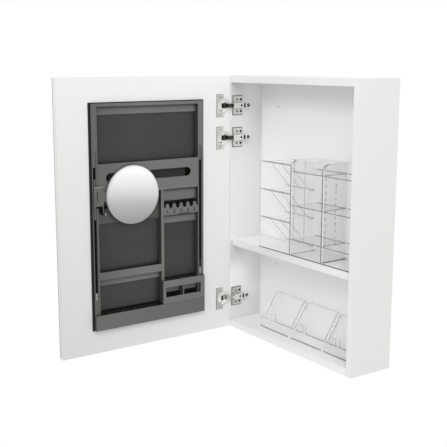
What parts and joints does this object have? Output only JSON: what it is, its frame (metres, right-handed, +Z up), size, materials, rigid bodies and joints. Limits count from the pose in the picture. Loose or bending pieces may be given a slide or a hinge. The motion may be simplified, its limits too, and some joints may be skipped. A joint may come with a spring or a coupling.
{
  "type": "wall-hung mirror cabinet",
  "caption": "White wall-hung mirror cabinet with its door open: door storage unit with a round mirror, a shelf and clear organisers.",
  "frame": {"origin": "in the wall plane, on the cabinet's centre line, at the height of the upper wall screws", "axes": "+X to the viewer's right when facing the cabinet, +Y into the wall, +Z up"},
  "size_m": [0.511, 0.6395, 0.7],
  "materials": {
    "white_board": "white lacquer, satin",
    "raw_board": "bare particle board",
    "dowel_wood": "bare beech",
    "mirror_glass": "silvered float glass",
    "nickel": "nickel plated, satin",
    "dark_steel": "black nickel, polished",
    "bright_steel": "zinc plated",
    "black_plastic": "black, fine grain",
    "grey_plastic": "mid grey, fine grain",
    "dark_panel": "dark grey, fine grain",
    "pale_plastic": "pale grey, smooth",
    "clear_acrylic": "clear, polished"
  },
  "bodies": {
    "case": {"back_panel": "white_board", "bin_left": "clear_acrylic", "bin_middle": "clear_acrylic", "bin_right": "clear_acrylic", "bottom_panel": "white_board", "case_dowels": "dowel_wood", "hanging_rail_lower": "raw_board", "hanging_rail_upper": "raw_board", "hinge_arm_bottom": "nickel", "hinge_arm_middle": "nickel", "hinge_arm_screws": "bright_steel", "hinge_arm_top": "nickel", "hinge_hook_bottom": "bright_steel", "hinge_hook_middle": "dark_steel", "hinge_hook_top": "dark_steel", "hinge_plate_bottom": "nickel", "hinge_plate_middle": "nickel", "hinge_plate_screws": "bright_steel", "hinge_plate_top": "nickel", "rack_dividers": "clear_acrylic", "rack_shell": "clear_acrylic", "rack_slopes": "clear_acrylic", "shelf": "white_board", "shelf_pins": "bright_steel", "side_panel_left": "white_board", "side_panel_right": "white_board", "top_panel": "white_board", "tower_shell_left": "clear_acrylic", "tower_shell_right": "clear_acrylic", "tower_shelves_left": "clear_acrylic", "tower_shelves_right": "clear_acrylic"},
    "door": {"door_board": "white_board", "door_mirror": "mirror_glass", "hinge_cup_top": "nickel", "hinge_cup_middle": "nickel", "hinge_cup_bottom": "nickel", "hinge_pins": "bright_steel", "hinge_cup_screws": "bright_steel", "unit_pan": "black_plastic", "unit_frame": "grey_plastic", "unit_backing": "dark_panel", "unit_screws": "bright_steel", "unit_strips": "grey_plastic", "slotted_bridge": "grey_plastic", "centre_divider": "grey_plastic", "brush_comb": "grey_plastic", "ledge_lip": "grey_plastic", "bottom_tray": "grey_plastic", "tray_fingers": "grey_plastic", "accessory_box": "grey_plastic", "rail_left": "grey_plastic", "rail_right": "grey_plastic", "rail_catches": "black_plastic"},
    "shaving_mirror": {"mirror_slider": "grey_plastic", "mirror_bracket": "grey_plastic", "mirror_shell": "pale_plastic", "mirror_glass": "mirror_glass"}
  },
  "joints": [
    {"name": "door_swing", "type": "hinge", "parent": "case", "child": "door", "pos_m": [-0.2455, -0.14, 0], "axis": [0, 0, 1], "range_deg": [-10, 90]},
    {"name": "mirror_slide", "type": "slide", "parent": "door", "child": "shaving_mirror", "axis": [0, 0, 1], "range_m": [-0.075, 0.028]}
  ]
}
